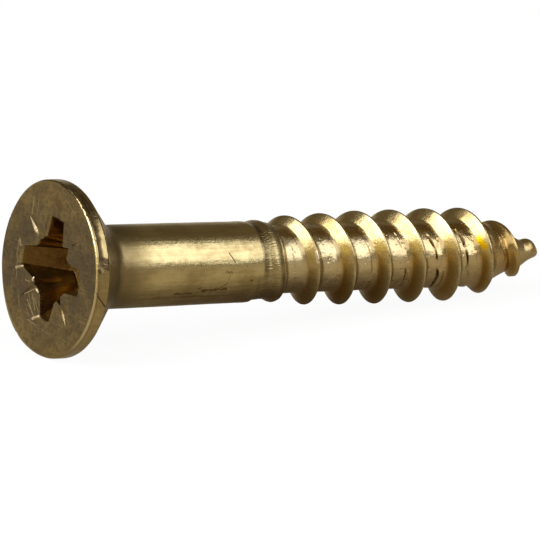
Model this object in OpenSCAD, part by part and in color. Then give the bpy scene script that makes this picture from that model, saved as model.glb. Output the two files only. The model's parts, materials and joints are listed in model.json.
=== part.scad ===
// Countersunk wood screw, 4.0 x 25 mm, with a type Z cross recess.
// One piece of brass with the thread rolled on, lying as it rests: head at -X, tip at +X.
// The screw is drawn along its own axis z, with the head's face at z = 0 and the tip at z = length.
// It is then laid on the ground plane Z = 0, touching at the head's rim and at one thread crest.
// Around the axis, azimuth 0 points down to the ground, 90 points to +Y and 180 points up.

/* [Screw] */
// Overall length of the screw
length = 25; // [22:0.5:40]
// Diameter of the head
head_d = 7.5; // [6.6:0.1:8.4]
// Full angle of the countersunk cone
cone_angle = 90; // [80:1:96]
// Height of the straight rim round the head
rim_h = 0.52; // [0.3:0.02:0.7]
// Chamfer on the edge of the head's face
rim_chamfer = 0.08; // [0.04:0.01:0.15]
// Radius of the fillet between the cone and the shank
neck_fillet = 1.1; // [0.6:0.1:1.5]

/* [Shank] */
// Diameter of the plain shank
shank_d = 3.55; // [3.3:0.05:3.7]
// Distance from the head's face to where the shank starts to narrow
shank_end = 9.1; // [7:0.1:10]
// Length over which the shank narrows before the thread
waist_len = 0.3; // [0.2:0.05:0.5]
// How much the shank's radius narrows before the thread
waist_drop = 0.03; // [0.02:0.005:0.05]
// Step in radius from the narrowed shank to the threaded core blank
waist_step = 0.025; // [0.02:0.005:0.05]

/* [Thread] */
// Diameter over the thread crests
thread_d = 4.0; // [3.8:0.05:4.4]
// Diameter of the core between the crests
core_d = 2.8; // [2.6:0.05:3]
// Distance between neighbouring crests
pitch = 1.8; // [1.6:0.05:2]
// Part of a turn, from straight below, by which the first crest line is ahead of z = 0
thread_turn = 0.122; // [0:0.01:1]
// Distance from the waist to the start of the first crest
thread_start = 0.2; // [0.1:0.05:0.6]
// Length over which the groove reaches its full depth
groove_run = 0.55; // [0.3:0.05:1]
// Length over which the crest reaches its full height
crest_run = 4.4; // [2:0.1:6]
// How fast the crest rises at its start (1 is even)
crest_rise = 0.7; // [0.5:0.05:1.2]
// Width of the flat on the crest
crest_w = 0.06; // [0.04:0.01:0.12]
// Axial width of the flank that faces the head
head_flank = 0.42; // [0.3:0.02:0.5]
// Axial width of the flank that faces the tip
tip_flank = 0.3; // [0.2:0.02:0.4]
// Axial width of the curve at the foot of each flank
flank_foot = 0.13; // [0.08:0.01:0.18]
// Height of a flank's foot, as a part of the thread's height
foot_height = 0.13; // [0.05:0.01:0.2]

/* [Tip] */
// Distance from the end at which the crest starts to fall
crest_fall = 4.4; // [3.6:0.1:5]
// Distance from the end at which the thread stops
thread_stop = 1.3; // [1:0.1:1.6]
// Length over which the last crest drops to the core
crest_stop_run = 0.45; // [0.3:0.05:0.6]
// Radius of the crest where the thread stops
last_crest_r = 1.03; // [0.8:0.05:1.2]
// How fast the crest falls toward the tip (1 is even)
crest_drop = 1.4; // [1:0.1:2]
// Distance from the end at which the core starts to taper
core_fall = 3.2; // [2.8:0.1:3.6]
// Length of the blunt nub at the tip
nub_len = 1; // [0.8:0.05:1.1]
// Radius of the nub
nub_r = 0.47; // [0.3:0.01:0.6]
// Length of the nub's rounded end
nub_cap = 0.6; // [0.4:0.05:0.7]

/* [Recess] */
// Width across two opposite wings at the face
wing_reach = 4.7; // [4:0.1:5]
// Width across two opposite wings at the bottom
wing_foot = 2.1; // [1.8:0.1:2.4]
// Width of each wing's slot
wing_w = 1.2; // [1:0.05:1.3]
// Depth of the wings
wing_depth = 1.9; // [1.5:0.1:2.1]
// Width across the flats of the square core at the face
core_mouth = 2.8; // [2.4:0.1:3]
// Width across the flats of the square core at the bottom
core_bottom = 1.9; // [1.7:0.1:2.1]
// Depth of the point below the wings
point_depth = 0.4; // [0.2:0.05:0.5]
// Width across two opposite notches between the wings, at the face
notch_reach = 3.5; // [3.2:0.1:3.8]
// Width of each notch
notch_w = 0.34; // [0.2:0.02:0.5]
// Distance from the axis to the outer end of each marking line
tick_reach = 2.6; // [2.2:0.1:2.9]
// Width of each marking line
tick_w = 0.14; // [0.08:0.02:0.2]
// Depth of each marking line
tick_depth = 0.06; // [0.04:0.01:0.1]
// Turn of the recess about the screw's axis, from straight up
recess_turn = 6.2; // [0:0.1:90]

/* [Smoothness] */
// Number of facets round the thread
columns = 60; // [36:4:72]

/* [Hidden] */

brass = [0.66, 0.53, 0.27];
head_r = head_d / 2;
shank_r = shank_d / 2;
crest_r = thread_d / 2;
core_r = core_d / 2;

// Plane where the exact shank ends, and the radii on both sides of it
waist_z = shank_end + waist_len;
waist_r = shank_r - waist_drop;
blank_r = waist_r - waist_step;

// Places along the axis, from the head's face
first_crest_z = waist_z + thread_start;
crest_fall_z = length - crest_fall;
stop_z = length - thread_stop;
core_fall_z = length - core_fall;
nub_z = length - nub_len;
cap_z = length - nub_cap;

arc_steps = 8;
cap_rings = 4;
// Overlap of cutting and joined shapes, and the smallest gap between rings of points
bite = 0.4;
row_gap = 0.025;

// ---- Places on the thread ----

// Share of the way from a to b, clamped and eased
function ramp(z, a, b) = max(0, min(1, (z - a) / (b - a)));
function ease(t) = t * t * (3 - 2 * t);
function mix(a, b, t) = a + (b - a) * t;

// Radius of the core, without its thread, at a distance z from the face
function core_at(z) =
    z < nub_z ? mix(core_r, nub_r, ramp(z, core_fall_z, nub_z))
    : nub_r * sqrt(max(0, 1 - pow(ramp(z, cap_z, length), 2)));

// Radius of the crest line at z: it rises from the blank, runs level and falls to the tip
function crest_rise_at(z) = mix(blank_r, crest_r, pow(ramp(z, first_crest_z, first_crest_z + crest_run), crest_rise));
function crest_fall_at(z) = mix(crest_r, last_crest_r, pow(ramp(z, crest_fall_z, stop_z), crest_drop));
function crest_stop_at(z) = mix(1, 0, ramp(z, stop_z, stop_z + crest_stop_run));
function crest_at(z) =
    z < crest_fall_z ? crest_rise_at(z)
    : mix(core_at(z), max(crest_fall_at(z), core_at(z)), crest_stop_at(z));

// Radius of the groove's floor: the groove sinks from the blank in its first part of a turn
function floor_at(z, groove_z) =
    mix(blank_r, core_at(z), ease(ramp(groove_z, first_crest_z, first_crest_z + groove_run)));

// One pitch of the thread's profile: axial place from the middle of the crest, and height from 0 to 1
half_crest = crest_w / 2;
head_foot = half_crest + head_flank;
tip_foot = half_crest + tip_flank;
floor_mid = (pitch - head_foot - flank_foot + tip_foot + flank_foot) / 2;
PROFILE = [
    [-head_foot - flank_foot, 0],
    [-head_foot, foot_height],
    [-half_crest - head_flank / 2, (1 + foot_height) / 2],
    [-half_crest, 1],
    [half_crest, 1],
    [tip_foot, foot_height],
    [tip_foot + flank_foot, 0],
    [floor_mid, 0]
];
rows_per_turn = len(PROFILE);

// Row k winds round the screw as a helix: its place at azimuth az, and the crest that it belongs to
function row_crest(k, az) = pitch * (floor(k / rows_per_turn) + az / 360 + thread_turn);
function row_place(k) = PROFILE[k % rows_per_turn];
function row_z(k, az) = row_crest(k, az) + row_place(k)[0];
function row_r(k, az) =
    let (z = row_z(k, az), crest_z = row_crest(k, az), height = row_place(k)[1],
         groove_z = row_place(k)[0] > 0 ? crest_z : crest_z - pitch,
         low = floor_at(z, groove_z))
    mix(low, max(low, crest_at(crest_z)), height);

// ---- The threaded part as one closed skin ----

azimuths = [for (j = [0 : columns - 1]) 360 * j / columns];
// Helical rows of each column that lie between the waist and the nub's cap
z_first = waist_z + 2 * row_gap;
z_last = cap_z - row_gap;
k_first = [for (az = azimuths) min([for (k = [0 : 200]) if (row_z(k, az) > z_first + row_gap) k])];
k_last = [for (az = azimuths) max([for (k = [0 : 200]) if (row_z(k, az) < z_last) k])];

function on_ring(z, r, az) = [r * cos(az), r * sin(az), z];
// A column of points: inside the shank, at the waist, along the rows and over the cap
function cap_place(i) = mix(cap_z, length, sin(90 * i / (cap_rings + 1)));
function column_points(j) =
    let (az = azimuths[j])
    [
        on_ring(waist_z - bite, blank_r, az),
        on_ring(z_first, blank_r, az),
        for (k = [k_first[j] : k_last[j]]) on_ring(row_z(k, az), row_r(k, az), az),
        for (i = [0 : cap_rings]) on_ring(cap_place(i), core_at(cap_place(i)), az)
    ];
columns_points = [for (j = [0 : columns - 1]) column_points(j)];
// Index of each column's first point, by adding up the lengths of the columns before it
starts = [for (j = 0, sum = 0; j < columns; sum = sum + len(columns_points[j]), j = j + 1) sum];
skin_points = concat([for (column = columns_points) each column], [[0, 0, length]]);
apex = len(skin_points) - 1;

// Index of helical row k in column j, of the waist ring, and of cap ring i
function row_index(j, k) = starts[j] + 2 + k - k_first[j];
function cap_index(j, i) = starts[j] + 2 + k_last[j] - k_first[j] + 1 + i;

function quad(a, b, c, d) = [[a, b, c], [a, c, d]];
// Faces between column j and the next one; past the last column the rows go on one turn later
function strip(j) =
    let (n = (j + 1) % columns, shift = n == 0 ? rows_per_turn : 0,
         low_j = k_first[j], low_n = k_first[n] - shift, low = max(low_j, low_n),
         top_j = k_last[j], top_n = k_last[n] - shift, top = min(top_j, top_n))
    [
        each quad(starts[j], starts[n], starts[n] + 1, starts[j] + 1),
        each (low_n < low_j ? [[starts[j] + 1, starts[n] + 1, row_index(n, low_n + shift)]] : []),
        each (low_n < low_j
            ? quad(starts[j] + 1, row_index(n, low_n + shift), row_index(n, low + shift), row_index(j, low))
            : quad(starts[j] + 1, starts[n] + 1, row_index(n, low + shift), row_index(j, low))),
        for (k = [low : top - 1])
            each quad(row_index(j, k), row_index(n, k + shift), row_index(n, k + 1 + shift), row_index(j, k + 1)),
        each (top_j > top ? [[row_index(j, top), row_index(n, top + shift), row_index(j, top_j)]] : []),
        each quad(row_index(j, top_j), row_index(n, top + shift), cap_index(n, 0), cap_index(j, 0)),
        for (i = [0 : cap_rings - 1])
            each quad(cap_index(j, i), cap_index(n, i), cap_index(n, i + 1), cap_index(j, i + 1)),
        [cap_index(j, cap_rings), cap_index(n, cap_rings), apex]
    ];
skin_faces = [
    [for (j = [0 : columns - 1]) starts[j]],
    for (j = [0 : columns - 1]) for (face = strip(j)) [face[2], face[1], face[0]]
];

module threaded_part() {
    polyhedron(points = skin_points, faces = skin_faces);
}

// ---- Head and shank ----

half_cone = cone_angle / 2;
cone_offset = rim_h * sin(half_cone) + head_r * cos(half_cone);
fillet_z = (cone_offset + neck_fillet - (shank_r + neck_fillet) * cos(half_cone)) / sin(half_cone);
fillet_arc = [
    for (i = [0 : arc_steps])
        let (a = half_cone * (1 - i / arc_steps))
        [shank_r + neck_fillet * (1 - cos(a)), fillet_z - neck_fillet * sin(a)]
];
blank_outline = concat(
    [[0, 0], [head_r - rim_chamfer, 0], [head_r, rim_chamfer], [head_r, rim_h]],
    fillet_arc,
    [[shank_r, shank_end], [waist_r, waist_z], [0, waist_z]]
);

module head_and_shank() {
    rotate_extrude($fn = 96) polygon(blank_outline);
}

// ---- Drive recess ----

// A slot right across the recess, reach wide at the face and foot wide at its depth
module slot(reach, foot, width, depth) {
    flare = bite * (reach - foot) / depth;
    rotate([90, 0, 0]) linear_extrude(height = width, center = true)
        polygon([
            [-(reach + flare) / 2, -bite], [(reach + flare) / 2, -bite],
            [foot / 2, depth], [-foot / 2, depth]
        ]);
}

// The square core with its corners in the wings, and the point below it
module core_pit() {
    flare = bite * (core_mouth - core_bottom) / wing_depth;
    translate([0, 0, -bite])
        cylinder(h = wing_depth + bite, r1 = (core_mouth + flare) / sqrt(2), r2 = core_bottom / sqrt(2), $fn = 4);
    translate([0, 0, wing_depth - bite / 4])
        cylinder(h = point_depth + bite / 4, r1 = core_bottom / 2 * 0.94, r2 = 0.1, $fn = 48);
}

// A shallow V line on the face, outward from the notch
module tick() {
    translate([notch_reach / 2 - tick_w, 0, 0]) rotate([90, 0, 90])
        linear_extrude(height = tick_reach - notch_reach / 2 + tick_w)
            polygon([[-tick_w, -tick_depth], [tick_w, -tick_depth], [0, tick_depth]]);
}

module recess() {
    rotate([0, 0, recess_turn]) {
        for (turn = [0, 90]) {
            rotate([0, 0, turn]) slot(wing_reach, wing_foot, wing_w, wing_depth);
            rotate([0, 0, turn + 45]) slot(notch_reach, core_bottom, notch_w, wing_depth);
        }
        core_pit();
        for (turn = [45 : 90 : 315]) rotate([0, 0, turn]) tick();
    }
}

// ---- The screw as it lies ----

// The screw leans on the crest, among those straight below its axis, that meets the ground first
bottom_crests = [for (k = [0 : 40]) let (z = row_crest(k * rows_per_turn, 0)) if (z > shank_end && z < length) z];
lie_angle = min([for (z = bottom_crests) atan2(head_r - crest_at(z), z + half_crest - rim_h)]);
face_z = rim_h * sin(lie_angle) + head_r * cos(lie_angle);
face_x = ((head_r - rim_chamfer) * sin(lie_angle) - length * cos(lie_angle)) / 2;

module wood_screw() {
    color(brass)
        translate([face_x, 0, face_z]) rotate([0, 90 + lie_angle, 0])
            union() {
                difference() {
                    head_and_shank();
                    recess();
                }
                threaded_part();
            }
}

wood_screw();
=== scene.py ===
import json
from math import atan2, ceil, cos, hypot, pi, radians, sin, sqrt, tan

import bmesh
import bpy
from bmesh.types import BMEdge, BMVert
from bpy.props import FloatProperty, FloatVectorProperty, PointerProperty
from mathutils import Matrix, Vector
from mathutils.noise import noise


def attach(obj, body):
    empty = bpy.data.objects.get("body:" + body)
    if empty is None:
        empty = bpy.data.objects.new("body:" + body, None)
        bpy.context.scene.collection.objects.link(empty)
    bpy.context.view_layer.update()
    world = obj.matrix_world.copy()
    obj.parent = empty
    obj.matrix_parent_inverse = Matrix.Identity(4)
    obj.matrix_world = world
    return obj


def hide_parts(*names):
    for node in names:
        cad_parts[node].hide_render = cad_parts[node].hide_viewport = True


bl_info = {
    "name": "Brass Wood Screw",
    "version": (1, 0, 0),
    "blender": (4, 5, 0),
    "location": "3D View > Sidebar > Wood Screw",
    "description": "Builds a countersunk brass wood screw and a plain studio to look at it",
    "category": "Add Mesh",
}

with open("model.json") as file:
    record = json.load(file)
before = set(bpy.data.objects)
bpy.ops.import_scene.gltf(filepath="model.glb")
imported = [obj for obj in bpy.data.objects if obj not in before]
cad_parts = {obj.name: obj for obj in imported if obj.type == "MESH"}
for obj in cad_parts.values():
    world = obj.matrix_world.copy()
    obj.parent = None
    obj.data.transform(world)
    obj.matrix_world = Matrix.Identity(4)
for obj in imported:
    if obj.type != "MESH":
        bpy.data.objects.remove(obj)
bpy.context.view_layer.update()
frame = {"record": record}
MOUNTS = {mount["name"]: mount for mount in frame["record"]["mounts"]}

# The screw is drawn in millimetres along its own axis z, with the head's face at z = 0.
# Round the axis, azimuth 0 points down, 90 away to +Y, 180 up and 270 to -Y.
MM = 0.001
TURN = 2 * pi
STEPS = 192  # columns of the wound thread in one turn
FACE, RECESS, BODY = 0, 1, 2  # order of the piece's materials

# Rows of one pitch of the profile: the first, the last, where the groove's floor begins, and the fold
ROW_FROM, ROW_TO = -0.51, 1.29
ROOT_FROM, FOLD_ROW = 0.54, 1.01


# ---- Sizes and colours ----


def millimetres(name, value, description, lowest=0):
    return FloatProperty(
        name=name, description=description, default=value * MM, min=lowest,
        unit="LENGTH", subtype="DISTANCE", precision=5
    )


def angle(name, degrees, description):
    return FloatProperty(name=name, description=description, default=radians(degrees), subtype="ANGLE")


def colour(name, value, description):
    return FloatVectorProperty(
        name=name, description=description, default=value, size=3, min=0, max=1, subtype="COLOR"
    )


class ScrewSizes(bpy.types.PropertyGroup):
    length: millimetres("Length", 25.0, "Overall length of the screw")
    head_d: millimetres("Head diameter", 7.5, "Diameter of the head")
    rim_h: millimetres("Rim height", 0.6, "Height of the straight rim round the head")
    edge_r: millimetres("Edge rounding", 0.11, "Rounding between the face and the rim")
    neck_r: millimetres("Neck fillet", 0.85, "Radius of the fillet between the cone and the shank")
    shank_d: millimetres("Shank diameter", 2 * MOUNTS["shank"]["dims"]["r_mm"], "Diameter of the shank")
    thread_d: millimetres("Thread diameter", 2 * MOUNTS["wood_thread"]["dims"]["r_mm"], "Over its crests")
    core_d: millimetres("Core diameter", 2.8, "Diameter of the core between the crests")
    pitch: millimetres("Pitch", 1.8, "Distance between neighbouring crests")
    recess_depth: millimetres("Recess depth", 1.9, "Depth of the wings of the drive recess")


class ScrewColours(bpy.types.PropertyGroup):
    brass: colour("Brass", (0.55, 0.437, 0.2), "Handled brass on the shank and thread")
    worn: colour("Worn brass", (0.66, 0.53, 0.29), "Brighter brass where the crests and edges rub")
    tarnish: colour("Tarnish", (0.33, 0.235, 0.088), "Brown film that dulls the brass in patches")
    # This colour also paints shade: in the fillet, on the waist's step, behind crests, in the rim's
    # valley, on the grooves' upper near side and deep in the recess.
    grime_and_shade: colour("Grime", (0.07, 0.045, 0.018), "Dark dirt in folds, pits and grooves")
    stain: colour("Stain", (0.15, 0.075, 0.022), "Rust brown stains and spots")
    face_film: colour("Face film", (0.155, 0.115, 0.058), "Olive brown film on the head's face")
    # Amber is also painted light: the reflection at the flanks' foot, the shade on the grooves' upper
    # near side and the lit lower walls of the recess.
    amber: colour("Amber", (0.44, 0.245, 0.036), "Amber tone at the foot of the thread's flanks")
    # The gold spot is a painted reflection.
    gold: colour("Gold spot", (0.7, 0.43, 0.004), "Deep yellow spot on the thread's last full turn")
    # Fresh brass also paints the highlight on the second turn's crest.
    fresh: colour("Fresh brass", (0.92, 0.76, 0.48), "Bare brass on burrs and in scratches")
    recess: colour("Recess brass", (0.2, 0.105, 0.022), "Dark amber brass inside the drive recess")


class StudioSettings(bpy.types.PropertyGroup):
    azimuth: angle("Camera azimuth", -33.488, "Turn of the camera from -Y towards +X")
    elevation: angle("Camera elevation", 12.553, "Height of the camera above the horizon")
    distance: millimetres("Camera distance", 378.58, "Distance from the camera to its aim")
    aim_x: millimetres("Aim along the screw", -1.2256, "Place along X that the camera looks at", -1)
    aim_z: millimetres("Aim height", 2.3859, "Height that the camera looks at")
    lens: FloatProperty(name="Lens", description="Focal length", default=595.6, min=1, unit="CAMERA")
    backdrop: colour("Backdrop", (1.0, 1.0, 1.0), "Colour of the floor and the backdrop")
    ambient: colour("Ambient light", (0.2, 0.2, 0.2), "Even light from all round")
    room: colour("Room", (0.15, 0.12, 0.075), "Dim room that the brass mirrors")
    horizon: colour("Horizon", (0.52, 0.49, 0.43), "Pale horizon that the brass mirrors")
    left_wall: colour("Left wall", (1.0, 0.84, 0.32), "Warm wall that the brass mirrors")
    ground: colour("Ground", (0.064, 0.06, 0.054), "Floor's own colour, which takes the shadow")
    # The near floor is a painted shadow round the screw, in what the brass mirrors.
    near_floor_shadow: colour("Near floor", (0.068, 0.044, 0.021), "Floor by the screw that the brass mirrors")
    far_floor: colour("Far floor", (0.52, 0.455, 0.35), "Floor further off that the brass mirrors")


# ---- The screw's form ----


def ramp(z, a, b):
    return max(0.0, min(1.0, (z - a) / (b - a)))


def ease(t):
    return t * t * (3 - 2 * t)


def mix(a, b, t):
    return a + (b - a) * t


def soft_max(a, b, width):
    """The larger of two values, with the corner between them rounded."""
    return max(a, b) + max(0.0, width - abs(a - b)) ** 2 / (4 * width)


def bump_at(distance, width):
    """A smooth hump of height 1 that reaches zero at a width from its middle."""
    return ease(max(0.0, 1 - abs(distance) / width))


class ScrewForm:
    """The screw's surface: its radius at each place z and azimuth, in millimetres."""

    cone_half = 47.5  # degrees
    cone_gap = 0.05  # between the end of the cone and the corner under the rim
    skin_z = 9.0  # where the wound skin of the thread begins
    plain_end = 9.3
    waist_z = 9.62
    blank_drop = 0.12
    first_turn_end = 11.9
    fold_start = 14.6
    thread_turn = 0.122
    crest_half = 0.03
    head_flank = 0.4
    tip_flank = 0.42
    last_crest_r = 1.04
    nub_r = 0.5
    nub_tall = 0.075  # how far the nub bends
    recess_turn = 6.2  # degrees
    point_depth = 0.4
    face_reach = 2.55  # the recess lies within this distance of the axis

    def __init__(self, sizes):
        for name in ("length", "rim_h", "edge_r", "neck_r", "pitch", "recess_depth"):
            setattr(self, name, getattr(sizes, name) / MM)
        self.head_r = sizes.head_d / MM / 2
        self.shank_r = sizes.shank_d / MM / 2
        self.crest_r = sizes.thread_d / MM / 2
        self.core_r = sizes.core_d / MM / 2
        self.blank_r = self.shank_r - self.blank_drop
        self.fall_z = self.length - 4.4
        self.core_fall_z = self.length - 3.2
        self.stop_z = self.length - 1.3
        self.nub_z = self.length - 1
        self.cap_z = self.length - 0.8
        self.skin_end_z = self.length - 0.6

    def shank_at(self, z, azimuth=pi):
        """The shank narrows towards the thread and steps down at the waist, more gently below."""
        taper = self.shank_r - 0.0085 * max(0.0, min(z, self.waist_z) - 3.8)
        step = ramp(z, self.waist_z, self.waist_z + 0.3 + 0.5 * max(0.0, cos(azimuth)))
        return mix(taper, self.blank_r, mix(step, ease(step), 0.35))

    def core_at(self, z):
        if z < self.nub_z:
            return mix(self.core_r, self.nub_r, ramp(z, self.core_fall_z, self.nub_z))
        cap = ramp(z, self.cap_z, self.length)
        return self.nub_r * (1 - cap * cap) ** 0.8

    def crest_at(self, z):
        """Radius of the crest line: it rises in steps, runs level and falls to the tip."""
        if z < self.fall_z:
            start = 0.3 * ease(ramp(z, 9.6, 10.05))
            second = 0.42 * ease(ramp(z, 10.95, self.first_turn_end))
            return mix(self.blank_r, self.crest_r, start + second + 0.28 * ramp(z, 12.3, 15.3))
        drop = ramp(z, self.fall_z, self.stop_z)
        falling = mix(self.crest_r, self.last_crest_r, (drop ** 1.4 + ease(drop)) / 2)
        core = self.core_at(z)
        return mix(max(falling, core), core, ramp(z, self.stop_z, self.stop_z + 0.3))

    def place(self, z, azimuth):
        """Distance along the axis from the nearest crest's middle, and that crest's z."""
        turns = z / self.pitch - azimuth / TURN - self.thread_turn
        offset = (turns - round(turns)) * self.pitch
        return offset, z - offset

    def edge_place(self, z, azimuth):
        """The same from the nearest edge, which leans on the first turn."""
        crest_z = self.place(z, azimuth)[1]
        near = [(z - place - self.lean(place), place) for place in (crest_z - self.pitch, crest_z)]
        return min(near, key=lambda pair: abs(pair[0]))

    def first_turn(self, crest_z):
        """1 on the first turn, which is only a rounded hill, and 0 from the second on."""
        return 1 - ease(ramp(crest_z, 11.0, self.first_turn_end))

    def lean(self, crest_z):
        """How far the first turn's edge leans towards the tip."""
        late = 0.26 * (1 - ease(ramp(crest_z, 10.95, self.first_turn_end)))
        return late + 0.43 * (1 - ramp(crest_z, 10.06, 10.5))

    def brow(self, crest_z):
        """Distance from the top of the first turn's hill to the edge of its groove."""
        return mix(0.43, 0.14, ease(ramp(crest_z, 10.5, 10.98)))

    def height(self, offset, crest_z):
        """Height of the profile, from 0 on the groove's floor to 1 on the crest."""
        blunt = ease(ramp(crest_z, self.length - 2.4, self.length - 1.5))
        if offset < 0:
            flank = self.head_flank * (1 - 0.6 * blunt)
        else:
            flank = self.tip_flank * (1 - 0.4 * blunt - 0.45 * self.first_turn(crest_z))
        line = 1 - (abs(offset) - self.crest_half - 0.09 * blunt) / flank
        lowered = soft_max(line, 0.0, 0.26)
        sharp = -soft_max(-lowered, -1.0, 0.07)
        if offset >= 0:
            return sharp
        brow = self.brow(crest_z)
        return mix(sharp, ease(ramp(offset, -brow - 0.44, -brow)), self.first_turn(crest_z))

    def groove_floor(self, z, azimuth, groove_z):
        return mix(self.shank_at(z, azimuth), self.core_at(z), ramp(groove_z, 8.0, 10.15) ** 2.6)

    def thread_r(self, z, azimuth):
        offset, crest_z = self.edge_place(z, azimuth)
        groove_z = crest_z if offset > 0 else crest_z - self.pitch
        low = self.groove_floor(z, azimuth, groove_z)
        brow = self.brow(crest_z)
        sag = 0.34 * brow * self.first_turn(crest_z) * ramp(offset, -brow, 0.0) ** 1.5
        top = max(low, self.crest_at(crest_z) - sag)
        web = ease(ramp(z, 23.4, 23.8)) * (1 - ease(ramp(z, 23.8, 24.34)))
        low += 0.25 * max(0.0, cos(azimuth)) ** 3 * web
        return mix(low, max(low, top), max(0.0, self.height(offset, crest_z)))

    def lap_width(self, crest_z):
        """Width of the lip that rolling has folded over at the flank's foot."""
        wide = mix(0.05, 0.5, ramp(crest_z, 14.2, 19.6) ** 1.35)
        return mix(wide, 0.12, ease(ramp(crest_z, 20.0, 21.2)))

    def nub_shift(self, z):
        """How far the nub's middle lies below the axis: it bends up, and its end droops."""
        return self.nub_tall * (ease(ramp(z, 24.6, self.length)) - bump_at(z - 24.5, 0.45))


def round_axis(azimuth, radius, z):
    return Vector((radius * cos(azimuth), radius * sin(azimuth), z))


def azimuth_of(co):
    return atan2(co.y, co.x) % TURN


def turn_from(azimuth, degrees):
    """The shorter way round from an angle in degrees to an azimuth."""
    return (azimuth - radians(degrees) + pi) % TURN - pi


def round_bump(azimuth, degrees, width):
    """A smooth hump of height 1 round the axis, as wide as an angle in degrees to each side."""
    return bump_at(turn_from(azimuth, degrees), radians(width))


def round_ramp(azimuth, start, end):
    """A ramp round the axis between two angles in degrees."""
    return ramp(azimuth, radians(start), radians(end))


def set_ring(co, radius, z):
    """A vertex's place at a new radius and z, with its azimuth kept."""
    flat = Vector((co.x, co.y)).normalized() * radius
    return Vector((flat.x, flat.y, z))


# ---- Mesh steps ----


def only(kind, parts):
    """The vertices, or the edges, among some parts of a mesh."""
    return [part for part in parts if isinstance(part, kind)]


def thread_rows():
    """Places of the profile's rows over one pitch, closest at the crest and at the fold."""
    spans = [
        (ROW_FROM, -0.05, 9), (-0.05, 0.05, 4), (0.05, ROOT_FROM, 9),
        (ROOT_FROM, 0.94, 5), (0.94, 1.08, 7), (1.08, ROW_TO, 4),
    ]
    return [mix(a, b, i / count) for a, b, count in spans for i in range(count)] + [ROW_TO]


def wind_thread(bm, form, z_from, z_to):
    """Winds one pitch of the profile, repeats it along the screw and trims both ends."""
    line = [bm.verts.new((1.0, 0.0, form.pitch * form.thread_turn + row)) for row in thread_rows()]
    edges = [bm.edges.new(pair) for pair in zip(line, line[1:])]
    first = int(z_from / form.pitch) - 1
    last = ceil(z_to / form.pitch) + 1
    bmesh.ops.translate(bm, verts=line, vec=(0, 0, form.pitch * first))
    bmesh.ops.spin(
        bm, geom=line + edges, cent=(0, 0, 0), axis=(0, 0, 1), dvec=(0, 0, form.pitch / STEPS),
        angle=TURN, steps=STEPS
    )
    one_turn = bm.verts[:] + bm.edges[:] + bm.faces[:]
    for turn in range(1, last - first):
        copy = bmesh.ops.duplicate(bm, geom=one_turn)["geom"]
        bmesh.ops.translate(bm, verts=only(BMVert, copy), vec=(0, 0, form.pitch * turn))
    bmesh.ops.remove_doubles(bm, verts=bm.verts[:], dist=0.002)
    for place, outward in ((z_from, -1), (z_to, 1)):
        bmesh.ops.bisect_plane(
            bm, geom=bm.verts[:] + bm.edges[:] + bm.faces[:], dist=1e-5,
            plane_co=(0, 0, place), plane_no=(0, 0, outward), clear_outer=True
        )
        rim = [v for v in bm.verts if abs(v.co.z - place) < 1e-4]
        bmesh.ops.remove_doubles(bm, verts=rim, dist=0.006)


def lap_boldness(spot, azimuth, groove_z):
    """How boldly the fold shows: more towards the tip, and little on the far side."""
    bold = mix(0.22, 1.0, ramp(groove_z, ScrewForm.fold_start, 19.4))
    bold *= 1 - 0.6 * ramp(groove_z, 20.2, 21.2)
    bold *= max(0.05, min(1.3, 0.7 + 2.2 * noise(spot * 2.7)))
    bold *= 1 - 0.85 * round_bump(azimuth, 195, 50)
    if groove_z > 18.6:
        bold *= 1 - 0.85 * round_ramp(azimuth, 264, 284)
    return bold


def fold_root(form, spot, azimuth, root, groove_z, folded):
    """A folded place on the groove's floor: its row, how far it rises, and how dark its crack is painted.
    """
    width = form.lap_width(groove_z) * (1 + 0.3 * noise(spot * 2.3)) + 0.02 * noise(spot * 9)
    fold = ROW_TO - max(0.04, width)
    if root < FOLD_ROW:
        moved = mix(ROOT_FROM, fold, (root - ROOT_FROM) / (FOLD_ROW - ROOT_FROM))
    else:
        moved = mix(fold, ROW_TO, (root - FOLD_ROW) / (ROW_TO - FOLD_ROW))
    beyond = moved - fold
    bold = lap_boldness(spot, azimuth, groove_z)
    wide = mix(0.035, 0.065, ramp(groove_z, 14.5, 18.5))
    lift = -0.13 * folded * bold * bump_at(beyond, wide)
    if beyond >= 0:
        lift += 0.05 * folded * bold * ramp(width, 0.02, 0.2) * ease(ramp(beyond, 0, 0.07))
    dirt_and_shade = min(0.7, 0.95 * folded * bold * bump_at(beyond, wide * 1.1))
    return moved, lift, dirt_and_shade


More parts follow.
